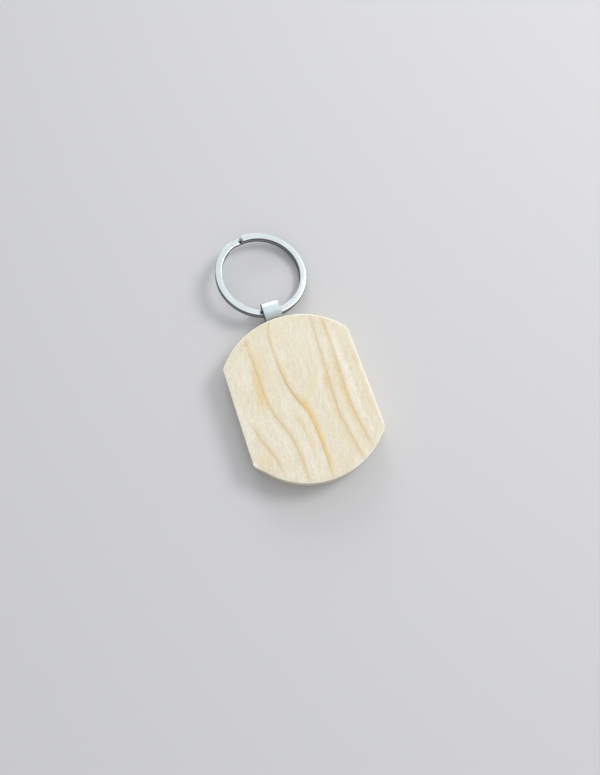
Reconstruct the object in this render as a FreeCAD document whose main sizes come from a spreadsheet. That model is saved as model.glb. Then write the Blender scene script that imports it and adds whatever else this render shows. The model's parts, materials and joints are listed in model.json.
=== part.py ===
"""Keychain: a wooden tag, a folded metal strap in a slot of its top edge, and a split ring.

Millimetres. The tag lies on its back at z = 0 with its middle on the Z axis, and the ring is
on its +Y side. Each piece is an object of its own whose sizes are bound to the sheet "sizes".
"""
import FreeCAD, Part

import math
import os

import Sketcher

SIZES = (
    # wooden tag
    ("tag_width", 38.5),
    ("tag_length", 50.0),
    ("tag_thickness", 6.8),
    ("top_arc_radius", 23.8),
    ("top_arc_shift", 0.3),
    ("bottom_arc_radius", 23.1),
    ("bottom_arc_shift", 0.7),
    ("flat_spot_rise", 10.4),
    ("corner_upper_right", 2.7),
    ("corner_upper_left", 1.4),
    ("corner_lower_left", 0.5),
    ("corner_lower_right", 2.9),
    ("rim_easing", 0.35),
    # slot for the strap, in the tag's top edge
    ("slot_width", 6.2),
    ("slot_height", 1.5),
    ("slot_depth", 9.5),
    # strap: a band folded round into a long loop, with two flat tails
    ("strap_width", 5.3),
    ("strap_gauge", 0.6),
    ("strap_corner", 0.15),
    ("tail_length", 9.0),
    ("tail_gap", 0.1),
    ("neck_radius", 0.9),
    ("loop_opening", 4.2),
    ("loop_straight", 1.1),
    ("loop_reach", 7.0),
    ("keying_hole", 2.4),
    ("keying_hole_depth", 5.2),
    # cured adhesive, set back a little from the slot's mouth
    ("glue_setback", 0.6),
    # split ring: two turns of flat wire, one above the other
    ("ring_diameter", 28.0),
    ("ring_bore", 24.0),
    ("wire_height", 1.0),
    ("wire_corner", 0.25),
    ("turn_gap", 0.06),
    ("jog_angle", 25.0),
    ("end_gap_angle", 1.5),
    ("split_angle", 101.5),
    # how the ring lies: its right side is down on the table and its left side is up
    ("hinge_reach", 3.4),
    ("wire_play", 0.2),
    ("ring_shift", 0.63),
    ("ring_roll", 10.2),
    ("ring_tilt", 1.0),
)

# Expressions that several pieces share.
MID_HEIGHT = "sizes.tag_thickness / 2"
FAR_BEND = "sizes.tag_length / 2 + sizes.loop_reach - sizes.loop_opening / 2 - sizes.strap_gauge"
BEND_RADIUS = "(sizes.loop_opening + sizes.strap_gauge) / 2"
TAIL_END = "sizes.tag_length / 2 - sizes.tail_length"
TAIL_HEIGHT = "sizes.tail_gap / 2 + sizes.strap_gauge / 2"
WIRE_WIDTH = "(sizes.ring_diameter - sizes.ring_bore) / 2"
WIRE_RADIUS = "(sizes.ring_diameter + sizes.ring_bore) / 4"
TURN_HEIGHT = "(sizes.wire_height + sizes.turn_gap) / 2"

Y_AXIS = FreeCAD.Vector(0, 1, 0)
Z_AXIS = FreeCAD.Vector(0, 0, 1)
START, END, CENTRE = 1, 2, 3
ORIGIN, SKETCH_X, SKETCH_Y = (-1, 1), -1, -2
JOG_STEPS = 6

doc = FreeCAD.newDocument("keychain")


def make_sheet():
    """Write the driving dimensions into the sheet, one alias a row."""
    sheet = doc.addObject("Spreadsheet::Sheet", "sizes")
    for row, (name, value) in enumerate(SIZES, start=1):
        sheet.set("A%d" % row, name)
        sheet.set("B%d" % row, str(value))
        sheet.setAlias("B%d" % row, name)
    doc.recompute()
    return sheet


def bind(item, **expressions):
    """Bind properties of an object to expressions on the sheet."""
    for name, expression in expressions.items():
        item.setExpression(name, expression)


def make_body(label):
    """Start a PartDesign body with this label."""
    body = doc.addObject("PartDesign::Body", label)
    body.Label = label
    return body


def origin_item(body, role):
    """Return the plane or axis of a body's own origin that has this role."""
    return next(item for item in body.Origin.OriginFeatures if item.Role == role)


def make_sketch(body, name, plane, **offset):
    """Start a sketch on an origin plane, set off from it by the given expressions."""
    sketch = body.newObject("Sketcher::SketchObject", name)
    sketch.AttachmentSupport = [(origin_item(body, plane), "")]
    sketch.MapMode = "FlatFace"
    for axis, expression in offset.items():
        sketch.setExpression("AttachmentOffset.Base." + axis, expression)
    return sketch


def constrain(sketch, kind, *places):
    """Add a constraint that has no size."""
    sketch.addConstraint(Sketcher.Constraint(kind, *places))


def dimension(sketch, kind, *places, size):
    """Add a constraint whose size is an expression on the sheet."""
    value = float(sketch.evalExpression(size))
    index = sketch.addConstraint(Sketcher.Constraint(kind, *places, value))
    sketch.setExpression("Constraints[%d]" % index, size)


def line(x1, y1, x2, y2):
    """A sketch line between two points."""
    return Part.LineSegment(FreeCAD.Vector(x1, y1, 0), FreeCAD.Vector(x2, y2, 0))


def arc(x, y, radius, start, end):
    """A sketch arc about (x, y), from one angle in degrees anticlockwise to the other."""
    circle = Part.Circle(FreeCAD.Vector(x, y, 0), Z_AXIS, radius)
    return Part.ArcOfCircle(circle, math.radians(start), math.radians(end))


def bearing(middle, point):
    """The direction in degrees from one point to another."""
    return math.degrees(math.atan2(point[1] - middle[1], point[0] - middle[0]))


def end_middles(sheet):
    """The middles of the tag's top and bottom arcs."""
    top = (sheet.top_arc_shift, sheet.tag_length / 2 - sheet.top_arc_radius)
    bottom = (sheet.bottom_arc_shift, sheet.bottom_arc_radius - sheet.tag_length / 2)
    return top, bottom


def outline_corners(sheet):
    """The tag's four corners, anticlockwise from the upper right."""
    (top_x, top_y), (bottom_x, bottom_y) = end_middles(sheet)
    half = sheet.tag_width / 2

    def rise(radius, away):
        return math.sqrt(radius**2 - away**2)

    return ((half, top_y + rise(sheet.top_arc_radius, half - top_x)),
            (-half, top_y + rise(sheet.top_arc_radius, half + top_x)),
            (-half, sheet.flat_spot_rise - sheet.tag_length / 2),
            (half, bottom_y - rise(sheet.bottom_arc_radius, half - bottom_x)))


def draw_tag_outline(sketch, sheet):
    """Two straight sides and an arc across each end. It is cut by hand, so the arcs' middles
    stand a little to the right, and the bottom arc runs out in a flat spot at its left end."""
    upper_right, upper_left, lower_left, lower_right = outline_corners(sheet)
    top_middle, bottom_middle = end_middles(sheet)
    radius = sheet.bottom_arc_radius
    flat_turn = math.degrees(math.acos(radius / math.dist(bottom_middle, lower_left)))
    flat_turn += bearing(bottom_middle, lower_left) + 360
    flat_end = (bottom_middle[0] + radius * math.cos(math.radians(flat_turn)),
                bottom_middle[1] + radius * math.sin(math.radians(flat_turn)))
    right = sketch.addGeometry(line(*lower_right, *upper_right))
    top = sketch.addGeometry(arc(*top_middle, sheet.top_arc_radius,
                                 bearing(top_middle, upper_right),
                                 bearing(top_middle, upper_left)))
    left = sketch.addGeometry(line(*upper_left, *lower_left))
    flat = sketch.addGeometry(line(*lower_left, *flat_end))
    bottom = sketch.addGeometry(arc(*bottom_middle, radius, flat_turn,
                                    bearing(bottom_middle, lower_right) + 360))
    for side, following in ((right, top), (top, left), (left, flat), (bottom, right)):
        constrain(sketch, "Coincident", side, END, following, START)
    constrain(sketch, "Tangent", flat, END, bottom, START)
    constrain(sketch, "Vertical", right)
    constrain(sketch, "Vertical", left)
    dimension(sketch, "Radius", top, size="sizes.top_arc_radius")
    dimension(sketch, "Radius", bottom, size="sizes.bottom_arc_radius")
    dimension(sketch, "DistanceX", *ORIGIN, top, CENTRE, size="sizes.top_arc_shift")
    dimension(sketch, "DistanceX", *ORIGIN, bottom, CENTRE, size="sizes.bottom_arc_shift")
    dimension(sketch, "DistanceY", *ORIGIN, top, CENTRE,
              size="sizes.tag_length / 2 - sizes.top_arc_radius")
    dimension(sketch, "DistanceY", bottom, CENTRE, *ORIGIN,
              size="sizes.tag_length / 2 - sizes.bottom_arc_radius")
    dimension(sketch, "DistanceY", flat, START, *ORIGIN,
              size="sizes.tag_length / 2 - sizes.flat_spot_rise")
    dimension(sketch, "DistanceX", *ORIGIN, right, START, size="sizes.tag_width / 2")
    dimension(sketch, "DistanceX", left, START, *ORIGIN, size="sizes.tag_width / 2")


def draw_slot_outline(sketch, sheet):
    """The section that a round cutter leaves: two straight sides and two half circles."""
    radius = sheet.slot_height / 2
    reach = sheet.slot_width / 2 - radius
    top = sketch.addGeometry(line(reach, radius, -reach, radius))
    left = sketch.addGeometry(arc(-reach, 0, radius, 90, 270))
    bottom = sketch.addGeometry(line(-reach, -radius, reach, -radius))
    right = sketch.addGeometry(arc(reach, 0, radius, -90, 90))
    sides = (top, left, bottom, right)
    for side, following in zip(sides, sides[1:] + sides[:1]):
        constrain(sketch, "Tangent", side, END, following, START)
    constrain(sketch, "Horizontal", top)
    constrain(sketch, "Horizontal", bottom)
    constrain(sketch, "Symmetric", left, CENTRE, right, CENTRE, *ORIGIN)
    dimension(sketch, "Radius", left, size="sizes.slot_height / 2")
    dimension(sketch, "DistanceX", left, CENTRE, right, CENTRE,
              size="sizes.slot_width - sizes.slot_height")


def draw_rounded_bar(sketch, width, height, corner, sizes):
    """A rounded rectangle about the sketch's origin. sizes holds its three expressions."""
    across = width / 2 - corner
    up = height / 2 - corner
    edges = []
    for turn, (x, y) in enumerate(((across, up), (-across, up), (-across, -up), (across, -up))):
        edges.append(sketch.addGeometry(arc(x, y, corner, 90 * turn, 90 * turn + 90)))
        if turn % 2 == 0:
            edge = line(x, y + math.copysign(corner, y), -x, y + math.copysign(corner, y))
        else:
            edge = line(x + math.copysign(corner, x), y, x + math.copysign(corner, x), -y)
        edges.append(sketch.addGeometry(edge))
    for edge, following in zip(edges, edges[1:] + edges[:1]):
        constrain(sketch, "Tangent", edge, END, following, START)
    corners = edges[0::2]
    top, left, bottom, right = edges[1::2]
    constrain(sketch, "Horizontal", top)
    constrain(sketch, "Horizontal", bottom)
    constrain(sketch, "Vertical", left)
    constrain(sketch, "Vertical", right)
    for other in corners[1:]:
        constrain(sketch, "Equal", corners[0], other)
    constrain(sketch, "Symmetric", corners[0], CENTRE, corners[2], CENTRE, *ORIGIN)
    width_size, height_size, corner_size = sizes
    dimension(sketch, "Radius", corners[0], size=corner_size)
    dimension(sketch, "DistanceX", left, START, right, END, size=width_size)
    dimension(sketch, "DistanceY", bottom, START, top, START, size=height_size)


def draw_strap_path(sketch, sheet):
    """The middle line of the strap's upper half: a tail, a reverse bend, the near bend, a
    straight and the far bend, and then the same back along the lower half."""
    bend = (sheet.loop_opening + sheet.strap_gauge) / 2
    tail_height = (sheet.tail_gap + sheet.strap_gauge) / 2
    neck = sheet.neck_radius
    far_y = sheet.tag_length / 2 + sheet.loop_reach - sheet.loop_opening / 2 - sheet.strap_gauge
    near_y = far_y - sheet.loop_straight
    neck_rise = tail_height + neck
    neck_back = math.sqrt((bend + neck)**2 - neck_rise**2)
    slope = math.degrees(math.atan2(neck_rise, neck_back))
    tail_end = sheet.tag_length / 2 - sheet.tail_length
    neck_y = near_y - neck_back
    upper_tail = sketch.addGeometry(line(tail_end, tail_height, neck_y, tail_height))
    upper_neck = sketch.addGeometry(arc(neck_y, neck_rise, neck, 270, 360 - slope))
    upper_near = sketch.addGeometry(arc(near_y, 0, bend, 90, 180 - slope))
    upper_side = sketch.addGeometry(line(near_y, bend, far_y, bend))
    far = sketch.addGeometry(arc(far_y, 0, bend, -90, 90))
    lower_side = sketch.addGeometry(line(far_y, -bend, near_y, -bend))
    lower_near = sketch.addGeometry(arc(near_y, 0, bend, 180 + slope, 270))
    lower_neck = sketch.addGeometry(arc(neck_y, -neck_rise, neck, slope, 90))
    lower_tail = sketch.addGeometry(line(neck_y, -tail_height, tail_end, -tail_height))
    joints = ((upper_tail, END, upper_neck, START), (upper_neck, END, upper_near, END),
              (upper_near, START, upper_side, START), (upper_side, END, far, END),
              (far, START, lower_side, START), (lower_side, END, lower_near, END),
              (lower_near, START, lower_neck, START), (lower_neck, END, lower_tail, START))
    for joint in joints:
        constrain(sketch, "Tangent", *joint)
    constrain(sketch, "Horizontal", upper_tail)
    constrain(sketch, "Horizontal", lower_tail)
    constrain(sketch, "Horizontal", upper_side)
    constrain(sketch, "PointOnObject", far, CENTRE, SKETCH_X)
    constrain(sketch, "PointOnObject", upper_near, CENTRE, SKETCH_X)
    constrain(sketch, "PointOnObject", lower_near, CENTRE, SKETCH_X)
    dimension(sketch, "DistanceX", *ORIGIN, far, CENTRE, size=FAR_BEND)
    dimension(sketch, "DistanceX", upper_near, CENTRE, far, CENTRE, size="sizes.loop_straight")
    for turn in (far, lower_near):
        dimension(sketch, "Radius", turn, size=BEND_RADIUS)
    for turn in (upper_neck, lower_neck):
        dimension(sketch, "Radius", turn, size="sizes.neck_radius")
    dimension(sketch, "DistanceY", *ORIGIN, upper_tail, START, size=TAIL_HEIGHT)
    dimension(sketch, "DistanceY", lower_tail, END, *ORIGIN, size=TAIL_HEIGHT)
    dimension(sketch, "DistanceX", *ORIGIN, upper_tail, START, size=TAIL_END)
    dimension(sketch, "DistanceX", *ORIGIN, lower_tail, END, size=TAIL_END)


def upright_edge_at(shape, x, y):
    """Return the name of the shape's upright edge that stands nearest to (x, y)."""
    def offset(edge):
        middle = edge.CenterOfMass
        return math.hypot(middle.x - x, middle.y - y)

    upright = [(offset(edge), index) for index, edge in enumerate(shape.Edges, start=1)
               if abs(edge.tangentAt(edge.FirstParameter).z) > 0.99]
    return "Edge%d" % min(upright)[1]


def flat_faces(shape):
    """Return the names of the shape's top and bottom faces."""
    heights = (shape.BoundBox.ZMin, shape.BoundBox.ZMax)
    return ["Face%d" % index for index, face in enumerate(shape.Faces, start=1)
            if face.BoundBox.ZLength < 0.001 and
            min(abs(face.BoundBox.ZMin - height) for height in heights) < 0.001]


def make_wooden_tag(sheet):
    """The board: outline, four hand-rounded corners, eased rims, and the slot for the strap."""
    body = make_body("wooden_tag")
    outline = make_sketch(body, "tag_outline", "XY_Plane")
    draw_tag_outline(outline, sheet)
    board = body.newObject("PartDesign::Pad", "board")
    board.Profile = outline
    bind(board, Length="sizes.tag_thickness")
    doc.recompute()

    last = board
    names = ("upper_right", "upper_left", "lower_left", "lower_right")
    for name, (x, y) in zip(names, outline_corners(sheet)):
        corner = body.newObject("PartDesign::Fillet", "corner_" + name)
        corner.Base = (last, [upright_edge_at(last.Shape, x, y)])
        bind(corner, Radius="sizes.corner_" + name)
        doc.recompute()
        last = corner

    rims = body.newObject("PartDesign::Fillet", "eased_rims")
    rims.Base = (last, flat_faces(last.Shape))
    bind(rims, Radius="sizes.rim_easing")
    doc.recompute()

    slot = make_sketch(body, "slot_section", "XZ_Plane", y=MID_HEIGHT,
                       z="sizes.slot_depth - sizes.tag_length / 2")
    draw_slot_outline(slot, sheet)
    pocket = body.newObject("PartDesign::Pocket", "strap_slot")
    pocket.Profile = slot
    pocket.Type = "ThroughAll"
    return body


def make_strap_loop(sheet):
    """The strap: a band bent along its path, with a keying hole through both tails."""
    body = make_body("strap_loop")
    path = make_sketch(body, "strap_path", "YZ_Plane", y=MID_HEIGHT)
    draw_strap_path(path, sheet)
    section = make_sketch(body, "strap_section", "XZ_Plane",
                          y=MID_HEIGHT + " + " + TAIL_HEIGHT, z="-(%s)" % TAIL_END)
    draw_rounded_bar(section, sheet.strap_width, sheet.strap_gauge, sheet.strap_corner,
                     ("sizes.strap_width", "sizes.strap_gauge", "sizes.strap_corner"))
    band = body.newObject("PartDesign::AdditivePipe", "band")
    band.Profile = section
    band.Spine = path
    doc.recompute()

    hole = make_sketch(body, "keying_hole", "XY_Plane", z=MID_HEIGHT)
    circle = Part.Circle(FreeCAD.Vector(0, 0, 0), Z_AXIS, sheet.keying_hole / 2)
    index = hole.addGeometry(circle)
    constrain(hole, "PointOnObject", index, CENTRE, SKETCH_Y)
    dimension(hole, "Diameter", index, size="sizes.keying_hole")
    dimension(hole, "DistanceY", *ORIGIN, index, CENTRE,
              size="sizes.tag_length / 2 - sizes.keying_hole_depth")
    pocket = body.newObject("PartDesign::Pocket", "keying")
    pocket.Profile = hole
    pocket.SideType = "Symmetric"
    pocket.Type = "Length"
    bind(pocket, Length="2 * sizes.slot_height")
    return body


def make_glue_fill(sheet, strap):
    """What is left of the slot once the tails are in it."""
    block = make_body("slot_fill")
    section = make_sketch(block, "fill_section", "XZ_Plane", y=MID_HEIGHT,
                          z="sizes.glue_setback - sizes.tag_length / 2")
    draw_slot_outline(section, sheet)
    pad = block.newObject("PartDesign::Pad", "fill")
    pad.Profile = section
    bind(pad, Length="sizes.slot_depth - sizes.glue_setback")
    glue = doc.addObject("Part::Cut", "glue_fill")
    glue.Label = "glue_fill"
    glue.Base = block
    glue.Tool = strap
    return glue


def wire_section(body, name, angle, height, sheet):
    """The wire's section, in the upright plane through the ring's axis at this angle."""
    section = make_sketch(body, name, "XZ_Plane", y=height,
                          x="%s * cos(%s)" % (WIRE_RADIUS, angle),
                          z="-%s * sin(%s)" % (WIRE_RADIUS, angle))
    section.AttachmentOffset = FreeCAD.Placement(FreeCAD.Vector(), FreeCAD.Rotation(Y_AXIS, 1))
    section.setExpression("AttachmentOffset.Rotation.Angle", angle)
    wire_width = (sheet.ring_diameter - sheet.ring_bore) / 2
    draw_rounded_bar(section, wire_width, sheet.wire_height, sheet.wire_corner,
                     (WIRE_WIDTH, "sizes.wire_height", "sizes.wire_corner"))
    return section


def make_split_ring(sheet):
    """Two turns of wire. Over the jog, the wire climbs from the lower turn to the upper one."""
    body = make_body("split_ring")
    jog_top = "(sizes.split_angle + sizes.jog_angle)"
    turns = (("upper_turn", jog_top, TURN_HEIGHT),
             ("lower_turn", "(%s + sizes.end_gap_angle)" % jog_top, "-" + TURN_HEIGHT))
    for name, start, height in turns:
        turn = body.newObject("PartDesign::Revolution", name)
        turn.Profile = wire_section(body, name + "_section", start, height, sheet)
        turn.ReferenceAxis = (origin_item(body, "Z_Axis"), [""])
        bind(turn, Angle="360 - sizes.jog_angle - sizes.end_gap_angle")

    sections = []
    for step in range(JOG_STEPS + 1):
        angle = "(sizes.split_angle + sizes.jog_angle * %d / %d)" % (step, JOG_STEPS)
        height = "-%s * cos(180 * %d / %d)" % (TURN_HEIGHT, step, JOG_STEPS)
        sections.append(wire_section(body, "jog_section_%d" % step, angle, height, sheet))
    doc.recompute()
    jog = body.newObject("PartDesign::AdditiveLoft", "jog")
    jog.Profile = sections[0]
    jog.Sections = sections[1:]

    hinge = "vector(0; sizes.tag_length / 2 + sizes.hinge_reach; %s)" % MID_HEIGHT
    middle = "vector(sizes.ring_shift; %s - sizes.wire_play; 0)" % WIRE_RADIUS
    lie = "rotation(0; sizes.ring_roll; sizes.ring_tilt)"
    body.setExpression("Placement", "placement(%s + %s * %s; %s)" % (hinge, lie, middle, lie))
    return body


def check(parts):
    """Stop if an object failed, or if a piece isn't one closed, valid solid."""
    doc.recompute()
    for item in doc.Objects:
        if {"Invalid", "Error"} & set(item.State):
            raise RuntimeError("%s failed: %s" % (item.Name, item.State))
    for item in parts:
        shape = item.Shape
        if shape.isNull() or not shape.isValid() or len(shape.Solids) != 1:
            raise RuntimeError("%s is not one valid solid" % item.Label)


def main():
    sheet = make_sheet()
    tag = make_wooden_tag(sheet)
    strap = make_strap_loop(sheet)
    glue = make_glue_fill(sheet, strap)
    ring = make_split_ring(sheet)
    parts = (tag, strap, glue, ring)
    check(parts)
    os.makedirs("parts", exist_ok=True)
    for item in parts:
        box = item.Shape.BoundBox
        print("%-12s volume %9.2f mm3, x %.2f to %.2f, y %.2f to %.2f, z %.2f to %.2f" % (
            item.Label, item.Shape.Volume, box.XMin, box.XMax, box.YMin, box.YMax,
            box.ZMin, box.ZMax))
        item.Shape.exportStep("parts/%s.step" % item.Label)


main()
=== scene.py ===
"""Keychain: the looks of the wooden tag, its strap and its split ring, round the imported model.

Lengths are in millimetres until they reach Blender, except that the lights and the floor are in
metres. The tag lies on its back with its middle at the origin, and the ring is on its +Y side.
"""

import json
import math

import bmesh
import bpy
from mathutils import Euler, Matrix, Vector, noise


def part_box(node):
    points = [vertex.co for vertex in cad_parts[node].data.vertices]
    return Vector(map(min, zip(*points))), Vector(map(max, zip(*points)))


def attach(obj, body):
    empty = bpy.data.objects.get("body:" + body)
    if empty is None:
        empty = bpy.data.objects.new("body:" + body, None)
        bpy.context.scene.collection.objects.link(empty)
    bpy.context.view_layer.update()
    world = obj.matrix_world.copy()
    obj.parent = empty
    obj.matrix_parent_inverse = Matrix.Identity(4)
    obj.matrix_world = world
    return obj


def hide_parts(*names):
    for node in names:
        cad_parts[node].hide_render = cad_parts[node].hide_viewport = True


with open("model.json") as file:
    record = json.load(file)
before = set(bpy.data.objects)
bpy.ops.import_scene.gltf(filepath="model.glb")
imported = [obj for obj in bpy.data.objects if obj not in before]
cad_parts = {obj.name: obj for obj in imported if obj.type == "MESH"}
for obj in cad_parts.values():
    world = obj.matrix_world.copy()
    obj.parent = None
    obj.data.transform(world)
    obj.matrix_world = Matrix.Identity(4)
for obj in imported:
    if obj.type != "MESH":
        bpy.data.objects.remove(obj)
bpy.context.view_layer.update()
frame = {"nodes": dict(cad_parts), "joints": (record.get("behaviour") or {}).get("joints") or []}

MM = 0.001

# Sizes of the CAD that no node's box gives.
TOP_ARC = 23.8
TOP_ARC_SHIFT = 0.3
BOTTOM_ARC = 23.1
BOTTOM_ARC_SHIFT = 0.7
FLAT_SPOT_RISE = 10.4
CORNERS = {"upper_right": 2.7, "upper_left": 1.4, "lower_left": 0.5, "lower_right": 2.9}
SLOT = (6.2, 1.5, 9.5)
STRAP_GAUGE = 0.6
STRAP_OPENING = 4.2
STRAP_STRAIGHT = 1.1
STRAP_NECK = 0.9
TAIL_GAP = 0.1
KEYING_HOLE = (2.4, 5.2)
RING_RADIUS = 13.0
WIRE_WIDTH = 2.0
WIRE_HEIGHT = 1.0
TURN_GAP = 0.06
JOG_ANGLE = 25.0
END_GAP_ANGLE = 1.5
TURN_ANGLE = 360 - JOG_ANGLE - END_GAP_ANGLE
SPLIT_ANGLE = 101.5
RING_SHIFT = 0.63
WIRE_PLAY = 0.2
RING_ROLL = 10.2
RING_TILT = 1.0

# Rims, corners and marks, where the looks have more detail than the CAD.
RIM_EASING = 0.33
RIM_DRIFT = 0.13
FACE_HOLLOW = 0.03
STRAP_CORNER = 0.17
STRAP_CROWN = 0.02
WIRE_STEP = 1.5
WIRE_CORNER = 0.25
WIRE_CROWN = 0.03
WIRE_END_BEVEL = 0.06
TINY = 0.002
DENT_ANGLE = 2.0
DENT_REACH = 2.4
DENT_DEPTH = 0.08
DENT_MIDDLE = -0.4
DENT_HALF_WIDTH = 0.7


def sizes_of(node):
    """A node's lowest and highest corners, in millimetres."""
    low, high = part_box(node)
    return low / MM, high / MM


# ---------------------------------------------------------------- meshes

def make_piece(name, mesh, body, material, node):
    """Link a bmesh as a piece that rides on a body and stands for a CAD node."""
    bmesh.ops.recalc_face_normals(mesh, faces=mesh.faces)
    data = bpy.data.meshes.new(name)
    mesh.to_mesh(data)
    mesh.free()
    data.transform(Matrix.Scale(MM, 4))
    piece = bpy.data.objects.new(name, data)
    bpy.context.scene.collection.objects.link(piece)
    data.materials.append(material)
    data.shade_smooth()
    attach(piece, body)
    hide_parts(node)
    return piece


def sharpen(piece, degrees):
    """Keep edges sharper than this angle crisp in a smooth-shaded mesh."""
    piece.data.set_sharp_from_angle(angle=math.radians(degrees))


def bridge(mesh, rings):
    """Faces between successive closed rings of vertices, and one face over each end."""
    for lower, upper in zip(rings, rings[1:]):
        count = len(lower)
        for i in range(count):
            j = (i + 1) % count
            mesh.faces.new((lower[i], lower[j], upper[j], upper[i]))
    for ring in (rings[0], rings[-1]):
        mesh.faces.new(ring)


def arc_points(middle, radius, start, end, step=2.0):
    """Points on an arc, both ends included, angles in degrees."""
    count = max(2, math.ceil(abs(end - start) / step))
    for i in range(count + 1):
        angle = math.radians(start + (end - start) * i / count)
        yield middle[0] + radius * math.cos(angle), middle[1] + radius * math.sin(angle)


def tag_arcs(half_width, half_length):
    """The outline's arcs anticlockwise from the upper right: middle, radius, start and end."""
    top = (TOP_ARC_SHIFT, half_length - TOP_ARC)
    bottom = (BOTTOM_ARC_SHIFT, BOTTOM_ARC - half_length)

    def rounding(corner, middle, big_radius, side, end):
        """The rounded corner between an end arc and a straight side."""
        radius = CORNERS[corner]
        x = side * (half_width - radius)
        rise = math.sqrt((big_radius - radius)**2 - (x - middle[0])**2)
        centre = (x, middle[1] + end * rise)
        turn = math.degrees(math.atan2(centre[1] - middle[1], centre[0] - middle[0])) % 360
        return centre, radius, turn

    upper_right, ur_radius, ur_turn = rounding("upper_right", top, TOP_ARC, 1, 1)
    upper_left, ul_radius, ul_turn = rounding("upper_left", top, TOP_ARC, -1, 1)
    lower_right, lr_radius, lr_turn = rounding("lower_right", bottom, BOTTOM_ARC, 1, -1)
    # the bottom arc runs out in a flat spot, which ends on the left side
    flat_top = (-half_width - bottom[0], FLAT_SPOT_RISE - half_length - bottom[1])
    away = math.hypot(*flat_top)
    bearing = math.atan2(flat_top[1], flat_top[0])
    flat_turn = math.degrees(bearing + math.acos(BOTTOM_ARC / away)) % 360
    ll_radius = CORNERS["lower_left"]
    ll_x = -half_width + ll_radius
    reach = BOTTOM_ARC - ll_radius
    slope = math.radians(flat_turn)
    ll_y = bottom[1] + (reach - (ll_x - bottom[0]) * math.cos(slope)) / math.sin(slope)
    return ((upper_right, ur_radius, 0, ur_turn), (top, TOP_ARC, ur_turn, ul_turn),
            (upper_left, ul_radius, ul_turn, 180), ((ll_x, ll_y), ll_radius, 180, flat_turn),
            (bottom, BOTTOM_ARC, flat_turn, lr_turn), (lower_right, lr_radius, lr_turn, 360))


def tag_outline(half_width, half_length):
    """Points round the tag with their outward directions, under a millimetre apart."""
    points = []
    for middle, radius, start, end in tag_arcs(half_width, half_length):
        count = max(6, round(math.radians(end - start) * radius / 0.5))
        for i in range(count + 1):
            angle = math.radians(start + (end - start) * i / count)
            out = Vector((math.cos(angle), math.sin(angle), 0))
            points.append((Vector((*middle, 0)) + radius * out, out))
    outline = []
    for (here, out), (there, other) in zip(points, points[1:] + points[:1]):
        gap = (there - here).length
        if gap < TINY / 10:
            continue
        count = max(1, round(gap / 0.8)) if gap > 1.0 else 1
        for i in range(count):
            share = i / count
            outline.append((here.lerp(there, share), out.lerp(other, share).normalized()))
    return outline


def make_tag(material):
    """The board: hand-eased rims, faces sanded a hair out of flat, and the slot for the strap."""
    low, high = sizes_of("wooden_tag")
    half_width = (high.x - low.x) / 2
    half_length = (high.y - low.y) / 2
    thickness = high.z - low.z
    outline = tag_outline(half_width, half_length)
    rim_steps = 5
    side_levels = 5
    face_rings = 9
    centre = Vector((0, 0, 0))

    def easing(point, top):
        """How far the rim is rounded over here. The top rim's noise is taken 9 mm higher."""
        place = point + Vector((0, 0, 9 if top else 0))
        return RIM_EASING + RIM_DRIFT * noise.noise(place * 0.16 + Vector((3.1, 0.7, 5.2)))

    def hollow(point, top):
        """How far the sanding dished the face here."""
        place = Vector((point.x * 0.07, point.y * 0.05, 4 if top else -4))
        return FACE_HOLLOW * (0.5 + 0.5 * noise.noise(place))

    mesh = bmesh.new()
    rings = []

    def add_ring(place):
        """One more ring of vertices, with place saying where an outline point goes."""
        rings.append([mesh.verts.new(place(point, out)) for point, out in outline])

    def rim(step, top):
        """A ring on the quarter round between the side and a face."""
        turn = math.radians(90 * step / rim_steps)

        def place(point, out):
            size = easing(point, top)
            inward = point - out * size * (1 - math.cos(turn))
            rise = size * (1 - math.sin(turn))
            return inward + Vector((0, 0, thickness - rise if top else rise))
        return place

    def face(share, top):
        """A ring on a face, this share of the way in to its middle."""
        def place(point, out):
            inward = (point - out * easing(point, top)).lerp(centre, share)
            dip = hollow(inward, top) * min(1, share * 8)
            return inward + Vector((0, 0, thickness - dip if top else dip))
        return place

    shares = [(i + 0.4) / face_rings for i in range(face_rings)]
    for share in reversed(shares):
        add_ring(face(share, False))
    for step in range(rim_steps, -1, -1):
        add_ring(rim(step, False))
    for level in range(1, side_levels):
        rise = Vector((0, 0, 0.5 + (thickness - 1.0) * level / side_levels))
        add_ring(lambda point, out: point + rise)
    for step in range(rim_steps + 1):
        add_ring(rim(step, True))
    for share in shares:
        add_ring(face(share, True))
    bridge(mesh, rings)

    piece = make_piece("tag_board", mesh, "tag", material, "wooden_tag")
    cut(piece, slot_cutter(half_length, thickness / 2))
    sharpen(piece, 35)
    return piece


def slot_cutter(half_length, mid_height):
    """A bar with round edges, where the router ran in from the tag's top edge."""
    width, height, depth = SLOT
    radius = height / 2
    reach = width / 2 - radius
    section = [*arc_points((reach, 0), radius, -90, 90, 15),
               *arc_points((-reach, 0), radius, 90, 270, 15)]
    mesh = bmesh.new()
    rings = []
    for y in (half_length - depth, half_length + 2):
        rings.append([mesh.verts.new((x, y, mid_height + z)) for x, z in section])
    bridge(mesh, rings)
    return mesh


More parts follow.
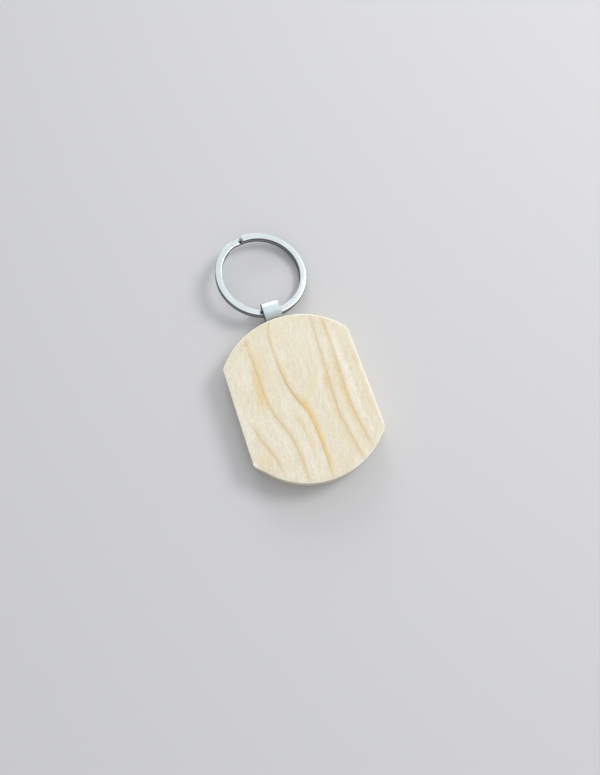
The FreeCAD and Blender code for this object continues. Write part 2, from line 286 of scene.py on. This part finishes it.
def cut(piece, mesh):
    """Cut a bmesh's volume out of a piece."""
    bmesh.ops.recalc_face_normals(mesh, faces=mesh.faces)
    data = bpy.data.meshes.new("cutter")
    mesh.to_mesh(data)
    mesh.free()
    data.transform(Matrix.Scale(MM, 4))
    cutter = bpy.data.objects.new("cutter", data)
    bpy.context.scene.collection.objects.link(cutter)
    boolean = piece.modifiers.new("cut", "BOOLEAN")
    boolean.operation = "DIFFERENCE"
    boolean.solver = "EXACT"
    boolean.object = cutter
    graph = bpy.context.evaluated_depsgraph_get()
    result = bpy.data.meshes.new_from_object(piece.evaluated_get(graph))
    piece.modifiers.clear()
    old = piece.data
    name = old.name
    piece.data = result
    bpy.data.objects.remove(cutter)
    bpy.data.meshes.remove(data)
    bpy.data.meshes.remove(old)
    result.name = name


def rounded_bar(width, height, corner, crown=0.0, steps=4, spread=6):
    """A bar's section as points (across, up), its broad sides bowed out by crown."""
    points = []
    half, up = width / 2 - corner, height / 2 - corner
    for turn, (x, y) in enumerate(((half, up), (-half, up), (-half, -up), (half, -up))):
        points.extend(arc_points((x, y), corner, 90 * turn, 90 * turn + 90, 90 / steps))
        if turn % 2 == 0:
            for i in range(1, spread):
                points.append((x - 2 * x * i / spread, y + math.copysign(corner, y)))
    return [(x, y - math.copysign(crown * (2 * x / width)**2, y)) for x, y in points]


def sweep(path, section, sink=None):
    """Sweep a section along frames of (place, across, up, turn) and cap its ends. The distance
    along and the place in the section are kept with each point, for the material. sink, where
    given, says how far a point of the section is pressed down at a turn."""
    mesh = bmesh.new()
    layer = mesh.verts.layers.float_vector.new("wire")
    rings = []
    run = 0.0
    last = path[0][0]
    for place, across, up, turn in path:
        run += (place - last).length
        last = place
        ring = []
        for x, y in section:
            pressed = sink(turn, x, y) if sink else 0.0
            vertex = mesh.verts.new(place + across * x + up * (y - pressed))
            vertex[layer] = (x, run, y)
            ring.append(vertex)
        rings.append(ring)
    bridge(mesh, rings)
    return mesh


def strap_path():
    """The strap's middle line as (y, z, turn), from its upper tail round to its lower one."""
    low, high = sizes_of("strap_loop")
    middle = (low.z + high.z) / 2
    bend = (STRAP_OPENING + STRAP_GAUGE) / 2
    tail_height = (TAIL_GAP + STRAP_GAUGE) / 2
    far = high.y - bend - STRAP_GAUGE / 2
    near = far - STRAP_STRAIGHT
    neck_rise = tail_height + STRAP_NECK
    neck_back = math.sqrt((bend + STRAP_NECK)**2 - neck_rise**2)
    slope = math.degrees(math.atan2(neck_rise, neck_back))
    neck_y = near - neck_back
    tail_steps = 12
    upper = [(low.y + (neck_y - low.y) * i / tail_steps, tail_height, 0)
             for i in range(tail_steps)]
    bend_steps = 16
    for i in range(bend_steps + 1):
        turn = (90 - slope) * i / bend_steps
        angle = math.radians(turn - 90)
        upper.append((neck_y + STRAP_NECK * math.cos(angle),
                      neck_rise + STRAP_NECK * math.sin(angle), turn))
    for i in range(1, bend_steps + 1):
        turn = (90 - slope) * (1 - i / bend_steps)
        angle = math.radians(turn + 90)
        upper.append((near + bend * math.cos(angle), bend * math.sin(angle), turn))
    upper.append(((near + far) / 2, bend, 0))
    far_steps = 20
    for i in range(far_steps + 1):
        turn = 90 - 90 * i / far_steps
        angle = math.radians(turn)
        upper.append((far + bend * math.cos(angle), bend * math.sin(angle), turn - 90))
    lower = [(y, -z, -180 - turn) for y, z, turn in reversed(upper[:-1])]
    return [(y, middle + z, turn) for y, z, turn in upper + lower]


def make_strap(material):
    """The folded band. Its edges are rolled over a little from shearing."""
    low, high = sizes_of("strap_loop")
    path = []
    for y, z, turn in strap_path():
        heading = math.radians(turn)
        up = Vector((0, -math.sin(heading), math.cos(heading)))
        path.append((Vector((0, y, z)), Vector((1, 0, 0)), up, turn))
    section = rounded_bar(high.x - low.x, STRAP_GAUGE, STRAP_CORNER, STRAP_CROWN, spread=10)
    mesh = sweep(path, section)
    piece = make_piece("strap_band", mesh, "tag", material, "strap_loop")
    hole = bmesh.new()
    across, depth = KEYING_HOLE
    tag_high = sizes_of("wooden_tag")[1]
    bmesh.ops.create_cone(hole, cap_ends=True, segments=48, radius1=across / 2, radius2=across / 2,
                          depth=2 * SLOT[1])
    place = Vector((0, tag_high.y - depth, (low.z + high.z) / 2))
    bmesh.ops.translate(hole, verts=hole.verts, vec=place)
    cut(piece, hole)
    sharpen(piece, 40)
    return piece


def ring_frame():
    """The placement of the ring's own axes: its middle, and the way it lies."""
    joint = next(joint for joint in frame["joints"] if joint["child"] == "ring")
    lie = Euler((math.radians(RING_TILT), math.radians(RING_ROLL), 0)).to_matrix()
    hinge = Vector(joint["pos_m"]) / MM
    return hinge + lie @ Vector((RING_SHIFT, RING_RADIUS - WIRE_PLAY, 0)), lie


def ring_run(angle):
    """How far along the ring's wire a turn's angle is, which starts from the lower turn's end."""
    start = SPLIT_ANGLE + 360 - TURN_ANGLE
    return RING_RADIUS * math.radians(angle - start)


def make_ring(material):
    """One flat wire in two turns, which climbs from the lower to the upper over the jog."""
    middle, lie = ring_frame()
    height = (WIRE_HEIGHT + TURN_GAP) / 2
    jog_start = SPLIT_ANGLE + 360
    start = jog_start - TURN_ANGLE
    end = jog_start + JOG_ANGLE + TURN_ANGLE
    steps = round((end - start) / WIRE_STEP)
    path = []
    for i in range(steps + 1):
        angle = start + (end - start) * i / steps
        climb = min(1, max(0, (angle - jog_start) / JOG_ANGLE))
        rise = -height * math.cos(math.pi * climb)
        heading = math.radians(angle)
        out = Vector((math.cos(heading), math.sin(heading), 0))
        place = middle + lie @ (out * RING_RADIUS + Vector((0, 0, rise)))
        path.append((place, lie @ out, lie @ Vector((0, 0, 1)), angle))
    section = rounded_bar(WIRE_WIDTH, WIRE_HEIGHT, WIRE_CORNER, WIRE_CROWN, steps=5)

    def dent(angle, x, y):
        """The press mark that the bending tool left beside the step, on the wire's inner half."""
        off_along = (angle - jog_start - DENT_ANGLE) / DENT_REACH
        off_across = (x - DENT_MIDDLE) / DENT_HALF_WIDTH
        return DENT_DEPTH * max(0.0, 1 - (off_along**2 + off_across**2)) if y > 0 else 0.0

    mesh = sweep(path, section, dent)
    ends = [edge for edge in mesh.edges if len(edge.link_faces) == 2
            and max(len(face.verts) for face in edge.link_faces) > 4]
    bmesh.ops.bevel(mesh, geom=ends, offset=WIRE_END_BEVEL, segments=2, affect="EDGES")
    bmesh.ops.dissolve_degenerate(mesh, edges=mesh.edges, dist=TINY)
    piece = make_piece("ring_wire", mesh, "ring", material, "split_ring")
    sharpen(piece, 45)
    return piece


# ---------------------------------------------------------------- shader maths

class Number:
    """A value inside a material, so that its maths can be written as plain arithmetic."""

    def __init__(self, tree, socket):
        self.tree = tree
        self.socket = socket

    def math(self, operation, *others):
        """A Math node's result from this number and up to two others."""
        node = self.tree.nodes.new("ShaderNodeMath")
        node.operation = operation
        for socket, value in zip(node.inputs, (self, *others)):
            plug(self.tree, value, socket)
        return Number(self.tree, node.outputs[0])

    def __add__(self, other):
        return self.math("ADD", other)

    def __sub__(self, other):
        return self.math("SUBTRACT", other)

    def __mul__(self, other):
        return self.math("MULTIPLY", other)

    def __truediv__(self, other):
        return self.math("DIVIDE", other)

    def __neg__(self):
        return self.math("MULTIPLY", -1.0)

    __radd__ = __add__
    __rmul__ = __mul__

    def less_from(self, value):
        """value minus this number."""
        return self * -1.0 + value

    def bell(self, middle, width):
        """A smooth bump of height 1 about middle."""
        offset = (self - middle) / width
        return (offset * offset * -1.0).math("EXPONENT")

    def ramp(self, low, high, to_low=0.0, to_high=1.0):
        """A smooth step between two values, level beyond them."""
        node = self.tree.nodes.new("ShaderNodeMapRange")
        node.interpolation_type = "SMOOTHSTEP"
        for name, value in (("Value", self), ("From Min", low), ("From Max", high),
                            ("To Min", to_low), ("To Max", to_high)):
            plug(self.tree, value, node.inputs[name])
        return Number(self.tree, node.outputs[0])

    def window(self, low, high, fade):
        """1 between two values and 0 beyond, with soft ends."""
        return self.ramp(low - fade, low + fade) * self.ramp(high - fade, high + fade, 1.0, 0.0)


def plug(tree, value, socket):
    """Link a Number or a socket to an input, or set the input to a plain value."""
    if isinstance(value, Number):
        tree.links.new(value.socket, socket)
    elif isinstance(value, bpy.types.NodeSocket):
        tree.links.new(value, socket)
    elif isinstance(value, tuple) and len(value) == 3 and socket.type == "RGBA":
        socket.default_value = (*value, 1.0)
    else:
        socket.default_value = value


class Look:
    """A material with one Principled shader, and short names for the nodes that feed it."""

    def __init__(self, name, **settings):
        self.material = bpy.data.materials.new(name)
        self.material.use_nodes = True
        self.tree = self.material.node_tree
        self.surface = self.tree.nodes["Principled BSDF"]
        for socket, value in settings.items():
            plug(self.tree, value, self.surface.inputs[socket.replace("_", " ")])

    def split(self, vector):
        """A vector's three parts."""
        node = self.tree.nodes.new("ShaderNodeSeparateXYZ")
        self.tree.links.new(vector, node.inputs[0])
        return [Number(self.tree, output) for output in node.outputs]

    def place(self):
        """Where the point is on the object, in millimetres."""
        node = self.tree.nodes.new("ShaderNodeTexCoord")
        return [value / MM for value in self.split(node.outputs["Object"])]

    def kept(self, name):
        """What a mesh keeps under this name, as three numbers."""
        node = self.tree.nodes.new("ShaderNodeAttribute")
        node.attribute_name = name
        return self.split(node.outputs["Vector"])

    def vector(self, x, y, z):
        """Three numbers as one vector."""
        node = self.tree.nodes.new("ShaderNodeCombineXYZ")
        for value, socket in zip((x, y, z), node.inputs):
            plug(self.tree, value, socket)
        return node.outputs[0]

    def noise(self, x, y, z, detail=2.0, rough=0.5):
        """Noise whose grains are about one unit of x, y and z across."""
        node = self.tree.nodes.new("ShaderNodeTexNoise")
        node.noise_dimensions = "3D"
        node.inputs["Scale"].default_value = 1.0
        node.inputs["Detail"].default_value = detail
        node.inputs["Roughness"].default_value = rough
        self.tree.links.new(self.vector(x, y, z), node.inputs["Vector"])
        return Number(self.tree, node.outputs[0])

    def mix(self, share, first, second):
        """The first colour, turned into the second by this share."""
        node = self.tree.nodes.new("ShaderNodeMix")
        node.data_type = "RGBA"
        plug(self.tree, share, node.inputs["Factor"])
        colours = [socket for socket in node.inputs if socket.type == "RGBA"]
        plug(self.tree, first, colours[0])
        plug(self.tree, second, colours[1])
        return next(socket for socket in node.outputs if socket.type == "RGBA")

    def shade(self, colour, amount):
        """A colour times an amount."""
        node = self.tree.nodes.new("ShaderNodeVectorMath")
        node.operation = "SCALE"
        plug(self.tree, colour, node.inputs[0])
        plug(self.tree, amount, node.inputs["Scale"])
        return node.outputs[0]

    def colour(self, value):
        plug(self.tree, value, self.surface.inputs["Base Color"])

    def roughness(self, value):
        plug(self.tree, value, self.surface.inputs["Roughness"])

    def relief(self, height, strength=1.0):
        """Bump from a height in millimetres."""
        node = self.tree.nodes.new("ShaderNodeBump")
        node.inputs["Strength"].default_value = strength
        node.inputs["Distance"].default_value = MM
        plug(self.tree, height, node.inputs["Height"])
        self.tree.links.new(node.outputs[0], self.surface.inputs["Normal"])


# ---------------------------------------------------------------- wood

HALF_WIDTH, HALF_LENGTH, THICKNESS = sizes_of("wooden_tag")[1]

# The tree's heart: how far it is to the right of the board's middle, and how far above its face.
HEART_LINE = 3.5
HEART_DISTANCE = 40.0

# How the growth lines leave straight. They swerve in an S on the board's left half and middle, and
# flare by its top edge. On its right half they bow, and lean out further below.
SWERVE = 4.6
SWERVE_SLANT = 0.79
SWERVE_HEIGHT = 0.4
SWERVE_LENGTH = 3.8
FLARE = 0.04
FLARE_START = 18.0
BOW = 0.288
BOW_MIDDLE = -12.8
BOW_LENGTH = 35.7
BOW_EDGE = 16.5
LEAN = 0.094
LEAN_START = 7.3

# Growth rings under the face: their spacing and where they fade in, measured like the lines.
DEEP_PERIOD = 3.4
DEEP_START = (21.0, 25.0)

# Growth lines: distance from the heart line, strength, how much of it is left beyond its
# strong stretch, that stretch of the board from low to high y, then the strength, width and
# stretch of the glow that leads up to the line.
LEFT_LINES = (
    (7.5, 0.64, 0.55, (-4, 12), 0.82, 2.4, (-22, 0)),
    (10.4, 0.14, 0.0, (-16, -4), 0.26, 1.3, (-19, -4)),
    (14.0, 0.46, 0.7, (-20, 16), 0.16, 1.4, (-24, 16)),
    (19.95, 0.46, 0.0, (-18, -4), 0.16, 1.4, (-20, -4)),
)
RIGHT_LINES = (
    (7.25, 0.42, 0.7, (-20, 16), 0.24, 2.6, (-20, 5)),
    (10.1, 0.40, 0.7, (-20, 20), 0.32, 2.4, (-16, 10)),
    (12.6, 0.04, 0.5, (-15, 15), 0.14, 1.2, (-10, 14)),
    (14.4, 0.04, 0.5, (-12, 12), 0.16, 1.0, (-12, 10)),
)
# Stains and pale streaks: middle, half widths, strength, and how far x runs over for each
# millimetre up the board.
STAINS = (
    (-11.2, 7.2, 1.1, 4.4, 0.62, 0.02),
    (-11.5, 2.4, 1.1, 2.6, 0.52, 0.12),
    (-9.6, 12.5, 1.0, 4.0, 0.26, 0.0),
    (-10.8, 19.9, 0.5, 0.6, 0.90, 0.0),
    (-3.1, 8.0, 0.7, 3.4, 0.50, 0.0),
    (-3.4, 17.5, 0.6, 5.0, 0.22, 0.05),
    (7.7, 2.3, 0.6, 1.8, 0.55, 0.1),
    (-2.9, -6.2, 0.6, 2.6, 0.26, 0.0),
    (3.4, 2.6, 1.2, 4.6, 0.24, 0.25),
    (12.0, -4.0, 0.7, 5.5, 0.30, 0.0),
    (12.9, 17.5, 0.7, 4.0, 0.34, 0.0),
    (-7.6, 13.0, 1.6, 7.0, 0.16, 0.0),
    (-16.5, -14.5, 1.8, 2.6, 0.24, 0.0),
    (4.8, -13.0, 1.4, 8.0, 0.12, 0.05),
    (-6.4, 1.9, 0.22, 0.25, 0.9, 0.0),
    (-6.4, -22.2, 0.35, 0.3, 0.8, 0.0),
)
PALE_STREAKS = (
    (8.2, 16.0, 0.8, 7.0, 0.50, 0.09),
    (6.4, 3.0, 0.8, 4.0, 0.50, 0.25),
    (14.2, 4.0, 0.8, 11.0, 0.55, 0.0),
    (-5.6, 0.4, 0.8, 3.0, 0.45, 0.0),
    (-8.6, -13.0, 0.9, 6.0, 0.45, -0.10),
    (-3.6, -16.0, 0.6, 4.5, 0.35, -0.06),
    (-13.2, 12.0, 0.9, 5.0, 0.35, 0.0),
    (-16.0, 6.0, 1.2, 8.0, 0.30, 0.0),
    (-18.2, -3.0, 0.9, 11.0, 0.45, 0.0),
)


def spots(x, y, rows):
    """The sum of soft spots on the board's face."""
    total = None
    for middle_x, middle_y, half_x, half_y, strength, lean in rows:
        slid = x - (y - middle_y) * lean
        spot = slid.bell(middle_x, half_x) * y.bell(middle_y, half_y) * strength
        total = spot if total is None else total + spot
    return total


def growth(away, y, half, rows):
    """The lines and the glow of one half of the board."""
    lines = glow = None
    for at, strength, rest, reach, haze, width, haze_reach in rows:
        core = away.ramp(at - 0.42, at - 0.08) * away.ramp(at, at + 0.22, 1.0, 0.0)
        skirt = away.ramp(at - 1.2, at - 0.1) * away.ramp(at - 0.1, at + 0.9, 1.0, 0.0)
        thin = core * 0.62 + skirt * 0.5
        thin = thin * (y.window(*reach, 3.0) * (1 - rest) + rest) * strength
        wide = away.ramp(at - width, at - width * 0.2) * away.ramp(at, at + 0.36, 1.0, 0.0)
        wide = wide * y.window(*haze_reach, 3.5) * haze
        lines = thin if lines is None else lines + thin
        glow = wide if glow is None else glow + wide
    return lines * half, glow * half


def along_grain(x, y):
    """How far to the right of the heart line this place's growth line starts out."""
    swerve = (y - x * SWERVE_SLANT - SWERVE_HEIGHT) / SWERVE_LENGTH
    swerve = (swerve.math("EXPONENT") + 1.0).math("POWER", -1.0)
    swerve = swerve * SWERVE * x.ramp(1.0, 8.0, 1.0, 0.0)
    flare = (y - FLARE_START).math("MAXIMUM", 0.0).math("POWER", 2.0)
    flare = flare * x.bell(-2.5, 4.0) * FLARE
    bow = y.bell(BOW_MIDDLE, BOW_LENGTH) * x.less_from(BOW_EDGE).math("MAXIMUM", 0.0)
    bow = bow * x.ramp(1.0, 6.5) * BOW
    lean = (-y - LEAN_START).math("MAXIMUM", 0.0) * x.ramp(3.0, 8.0) * LEAN
    return x - swerve - flare + bow - lean - HEART_LINE


def from_outline(x, y):
    """How far in from the board's outline a place is, as if its corners were sharp."""
    inward = (x * x).math("SQRT").less_from(HALF_WIDTH)
    for shift, radius, end in ((TOP_ARC_SHIFT, TOP_ARC, 1), (BOTTOM_ARC_SHIFT, BOTTOM_ARC, -1)):
        reach_x = x - shift
        reach_y = (y * end - (HALF_LENGTH - radius)).math("MAXIMUM", 0.0)
        reach = (reach_x * reach_x + reach_y * reach_y).math("SQRT")
        inward = inward.math("MINIMUM", reach.less_from(radius))
    return inward


def hardwood():
    """Pale flat-sawn wood. The growth rings are arcs about a heart above the board, so faces,
    sides and ends all show one figure."""
    look = Look("pale_hardwood", Specular_IOR_Level=0.35)
    x, y, z = look.place()
    drift = look.noise(x * 0.11, y * 0.045, z * 0.2, 2.0) - 0.5
    jitter = look.noise(x * 0.9, y * 0.22, z * 0.9, 3.0) - 0.5
    across = along_grain(x, y) + drift * 0.35 + jitter * 0.30

    # away: how far from the heart line this place's growth ring comes out on the face
    depth = z.less_from(THICKNESS)
    away = (across * across + depth * (depth + 2 * HEART_DISTANCE)).math("SQRT")
    right = across.ramp(-3.0, 3.0)
    left_lines, left_glow = growth(away, y, right.less_from(1.0), LEFT_LINES)
    right_lines, right_glow = growth(away, y, right, RIGHT_LINES)
    lines = left_lines + right_lines
    glow = left_glow + right_glow

    # rings deeper in the board, which only its sides, ends and back show
    phase = ((away + drift * 3.0) / DEEP_PERIOD).math("FRACT")
    deep = phase.ramp(0.35, 0.93) * phase.ramp(0.93, 1.0, 1.0, 0.0) * away.ramp(*DEEP_START)
    near_face = z.ramp(4.5, THICKNESS)
    deep = deep * near_face.less_from(1.0) * 0.75
    glow = glow + deep + spots(x, y, STAINS) * near_face

    # the wood just outside the right half's outer line is pale
    outside = away.bell(11.7, 0.65) * y.window(-16, 18, 3.0) * right * 0.5
    streaks = (spots(x, y, PALE_STREAKS) + outside) * near_face

    fibre = look.noise(across * 2.6, y * 0.13, away * 2.6, 4.0, 0.62)
    hair = look.noise(across * 8.0, y * 0.45, away * 8.0, 3.0, 0.7) - 0.5
    mottle = look.noise(x * 1.1 - y * 0.25, y * 0.28, z, 3.0, 0.6)
    cloud = look.noise(x * 0.16, y * 0.07, z * 0.3, 2.0)
    pores = look.noise(across * 6.5, y * 0.8, z * 6.5, 1.0).ramp(0.64, 0.76)
    fine = look.noise(x * 5.0, y * 5.0, z * 5.0, 2.0) - 0.5
    speck = look.noise(x * 4.2 - y * 0.6, y * 1.7, z * 4.2, 2.0, 0.75) - 0.5
    lines = lines * (fibre * 1.2 + hair * 1.6 + 0.45)
    glow = glow * (fibre * 0.7 + mottle * 0.6 + hair * 0.9 + 0.35)

    white = (0.84, 0.82, 0.75)
    pale = (0.765, 0.720, 0.605)
    cream = (0.710, 0.638, 0.460)
    tan = (0.735, 0.555, 0.245)
    rust = (0.580, 0.405, 0.185)
    pore = (0.52, 0.40, 0.24)
    rim_highlight = (0.90, 0.88, 0.83)
    light = fibre * 1.2 + cloud * 1.5 + mottle * 1.0 + hair * 0.4 - 1.27
    colour = look.mix(light, cream, pale)
    colour = look.mix(glow.math("MINIMUM", 0.95), colour, tan)
    colour = look.mix(lines.math("MINIMUM", 0.9), colour, rust)
    colour = look.mix(streaks * (mottle * 0.9 + fibre * 0.3), colour, white)
    colour = look.mix(pores * 0.22, colour, pore)

    # the face's eased rim is painted paler, a painted highlight where the rim catches the light
    rim = from_outline(x, y).ramp(0.18, 0.46, 1.0, 0.0)
    rim = rim * z.ramp(THICKNESS - 0.35, THICKNESS - 0.15)
    colour = look.mix(rim * (mottle * 0.5 + 0.45), colour, rim_highlight)
    colour = look.shade(colour, hair * 0.32 + speck * 0.46 + mottle * 0.12 + 0.94)
    look.colour(colour)
    look.roughness(fibre * 0.14 + fine * 0.1 + 0.50)
    look.relief(fibre * 0.02 + hair * 0.012 - pores * 0.02 + fine * 0.012 - lines * 0.01, 0.5)
    return look.material


# ---------------------------------------------------------------- metals

# The colour of the painted dark spots on the ring: painted shade and dark reflections.
PAINTED_SHADE_COLOUR = (0.03, 0.03, 0.032)
STRAP_HALF_WIDTH = sizes_of("strap_loop")[1].x

# Where round the ring its wire runs in at the strap's left side.
STRAP_SIDE_ANGLE = 253


def nickel(name, colour, shade, dull_and_shaded, half_width, shaded_below, grain, rough, painted_shade=()):
    """Nickel plate over drawn or rolled stock: fine lines along the work and rub marks. The narrow
    sides are painted dark, partly as plating duller than the polished faces and partly as painted
    shade and dark reflections. Below a given height of the section the same dark colour is painted
    as shade too, which on the strap darkens the inner face of its loop. Each row of painted shade
    is a dark spot painted where the wire lies in shadow and reflects dark surroundings: its place
    along and across the work, its length, its width and its strength."""
    look = Look(name, Specular_IOR_Level=0.25)
    across, along, up = look.kept("wire")
    drawn = look.noise(across * grain, along * 0.22, up * grain, 3.0, 0.6)
    hair = look.noise(across * grain * 3.1, along * 0.7, up * grain * 3.1, 2.0) - 0.5
    rub = look.noise(across * 0.7, along * 0.16, up * 0.7, 3.0)
    # the narrow sides, and the section below the given height, get the dark colour: partly duller
    # plating, partly painted shade and dark reflections
    side = across.math("ABSOLUTE").ramp(half_width - 0.12, half_width - 0.01)
    side = side.math("MAXIMUM", up.ramp(shaded_below - 0.1, shaded_below, 1.0, 0.0))
    metallic = side * -0.35 + 1.0
    colours = look.mix(side, look.mix(drawn * 0.5 + rub * 0.5, colour, shade), dull_and_shaded)
    # each spot is painted shade, dark where the wire lies in shadow and reflects dark surroundings
    for run, place, length, width, strength in painted_shade:
        spot = along.bell(run, length) * across.bell(place, width) * strength
        spot = spot.math("MINIMUM", 1.0)
        colours = look.mix(spot, colours, PAINTED_SHADE_COLOUR)
        metallic = metallic * (spot * -0.9 + 1.0)
    look.colour(colours)
    plug(look.tree, metallic, look.surface.inputs["Metallic"])
    edge = across.math("ABSOLUTE").ramp(half_width - 0.32, half_width - 0.08)
    wear = rub.ramp(0.35, 0.65) * 0.08 + drawn * 0.10
    look.roughness(wear + edge * 0.34 + rough)
    look.relief(drawn * 0.004 + hair * 0.002, 0.6)
    return look.material


def cured_glue():
    """Amber adhesive with a skin that has sunk unevenly."""
    look = Look("cured_glue", Specular_IOR_Level=0.5, Coat_Weight=0.3)
    x, y, z = look.place()
    cloud = look.noise(x * 0.9, y * 0.9, z * 0.9, 3.0)
    look.colour(look.mix(cloud, (0.52, 0.36, 0.15), (0.66, 0.50, 0.26)))
    look.roughness(cloud * 0.2 + 0.18)
    look.relief(cloud * 0.15, 0.6)
    return look.material


# ---------------------------------------------------------------- stage

CAMERA_PLACE = (-13.50, -37.44, 166.30)
CAMERA_TARGET = (0.72, 4.31, 0.0)
CAMERA_LENS = 26.85
FLOOR_DROP = 0.03


def make_camera():
    """From above, a little to the tag's lower left."""
    data = bpy.data.cameras.new("camera")
    data.lens = CAMERA_LENS
    data.sensor_width = 36
    data.clip_start = 0.005
    camera = bpy.data.objects.new("camera", data)
    bpy.context.scene.collection.objects.link(camera)
    place = Vector(CAMERA_PLACE) * MM
    target = Vector(CAMERA_TARGET) * MM
    camera.location = place
    camera.rotation_euler = (target - place).to_track_quat("-Z", "Y").to_euler()
    bpy.context.scene.camera = camera


def add_softbox(name, towards, distance, size, power, colour, spread=180):
    """A round area light that faces the object from this direction. A spread under 180
    degrees keeps its light to a cone, as a grid does."""
    data = bpy.data.lights.new(name, "AREA")
    data.shape = "DISK"
    data.size = size
    data.energy = power
    data.color = colour
    data.spread = math.radians(spread)
    light = bpy.data.objects.new(name, data)
    bpy.context.scene.collection.objects.link(light)
    direction = Vector(towards).normalized()
    light.location = direction * distance
    light.rotation_euler = direction.to_track_quat("Z", "Y").to_euler()


def make_lights():
    """A soft key from the tag's right, a wide panel over its upper right that the metal
    reflects, a weak one on the camera's side, a gridded one beyond the ring that lights the
    strap's bend, and a bright room."""
    add_softbox("key", (1.26, 0.30, 1.15), 0.75, 0.30, 2.35, (1.0, 0.985, 0.96))
    add_softbox("panel", (0.45, 0.40, 0.82), 0.80, 1.50, 3.6, (0.98, 0.99, 1.0))
    add_softbox("near", (-0.15, -0.85, 0.85), 0.80, 0.80, 0.7, (1.0, 0.98, 0.96))
    add_softbox("far", (0.10, 1.0, 0.38), 1.10, 0.60, 0.30, (1.0, 1.0, 1.0), 40)
    world = bpy.data.worlds.new("room")
    bpy.context.scene.world = world
    world.use_nodes = True
    background = world.node_tree.nodes["Background"]
    background.inputs["Color"].default_value = (0.95, 0.97, 1.0, 1.0)
    background.inputs["Strength"].default_value = 0.43


def make_floor():
    """A plain pale sheet, a hair under the object."""
    mesh = bmesh.new()
    bmesh.ops.create_grid(mesh, x_segments=1, y_segments=1, size=3.0)
    data = bpy.data.meshes.new("floor")
    mesh.to_mesh(data)
    mesh.free()
    floor = bpy.data.objects.new("floor", data)
    floor.location.z = -FLOOR_DROP * MM
    bpy.context.scene.collection.objects.link(floor)
    look = Look("floor", Roughness=0.85, Specular_IOR_Level=0.2, Base_Color=(0.60, 0.60, 0.61))
    data.materials.append(look.material)


make_camera()
make_lights()
make_floor()
bpy.context.scene.view_settings.view_transform = "Standard"

make_tag(hardwood())
make_strap(nickel("strap_nickel", colour=(0.66, 0.725, 0.750), shade=(0.57, 0.640, 0.675),
                  dull_and_shaded=(0.20, 0.21, 0.22), half_width=STRAP_HALF_WIDTH, shaded_below=-0.1,
                  grain=3.0, rough=0.40))
at_step = ring_run(SPLIT_ANGLE + 360)
at_strap = ring_run(STRAP_SIDE_ANGLE + 360)
# Painted shade on the ring: a dark spot on the inner half at the foot of the step, a thin dark
# line across the wire at the split, and the strap's painted shadow and dark reflection where the
# wire runs in at its left side.
ring_painted_shade = (
    (at_step + 0.36, -0.36, 0.46, 0.50, 2.0),
    (at_step + 0.05, 0.0, 0.14, 3.0, 0.9),
    (at_strap, 0.05, 0.42, 0.62, 1.5),
)
make_ring(nickel("ring_nickel", colour=(0.675, 0.730, 0.740), shade=(0.60, 0.655, 0.665),
                 dull_and_shaded=(0.13, 0.14, 0.145), half_width=WIRE_WIDTH / 2, shaded_below=-0.6,
                 grain=4.0, rough=0.14, painted_shade=ring_painted_shade))

glue = frame["nodes"]["glue_fill"]
glue.material_slots[0].material = cured_glue()
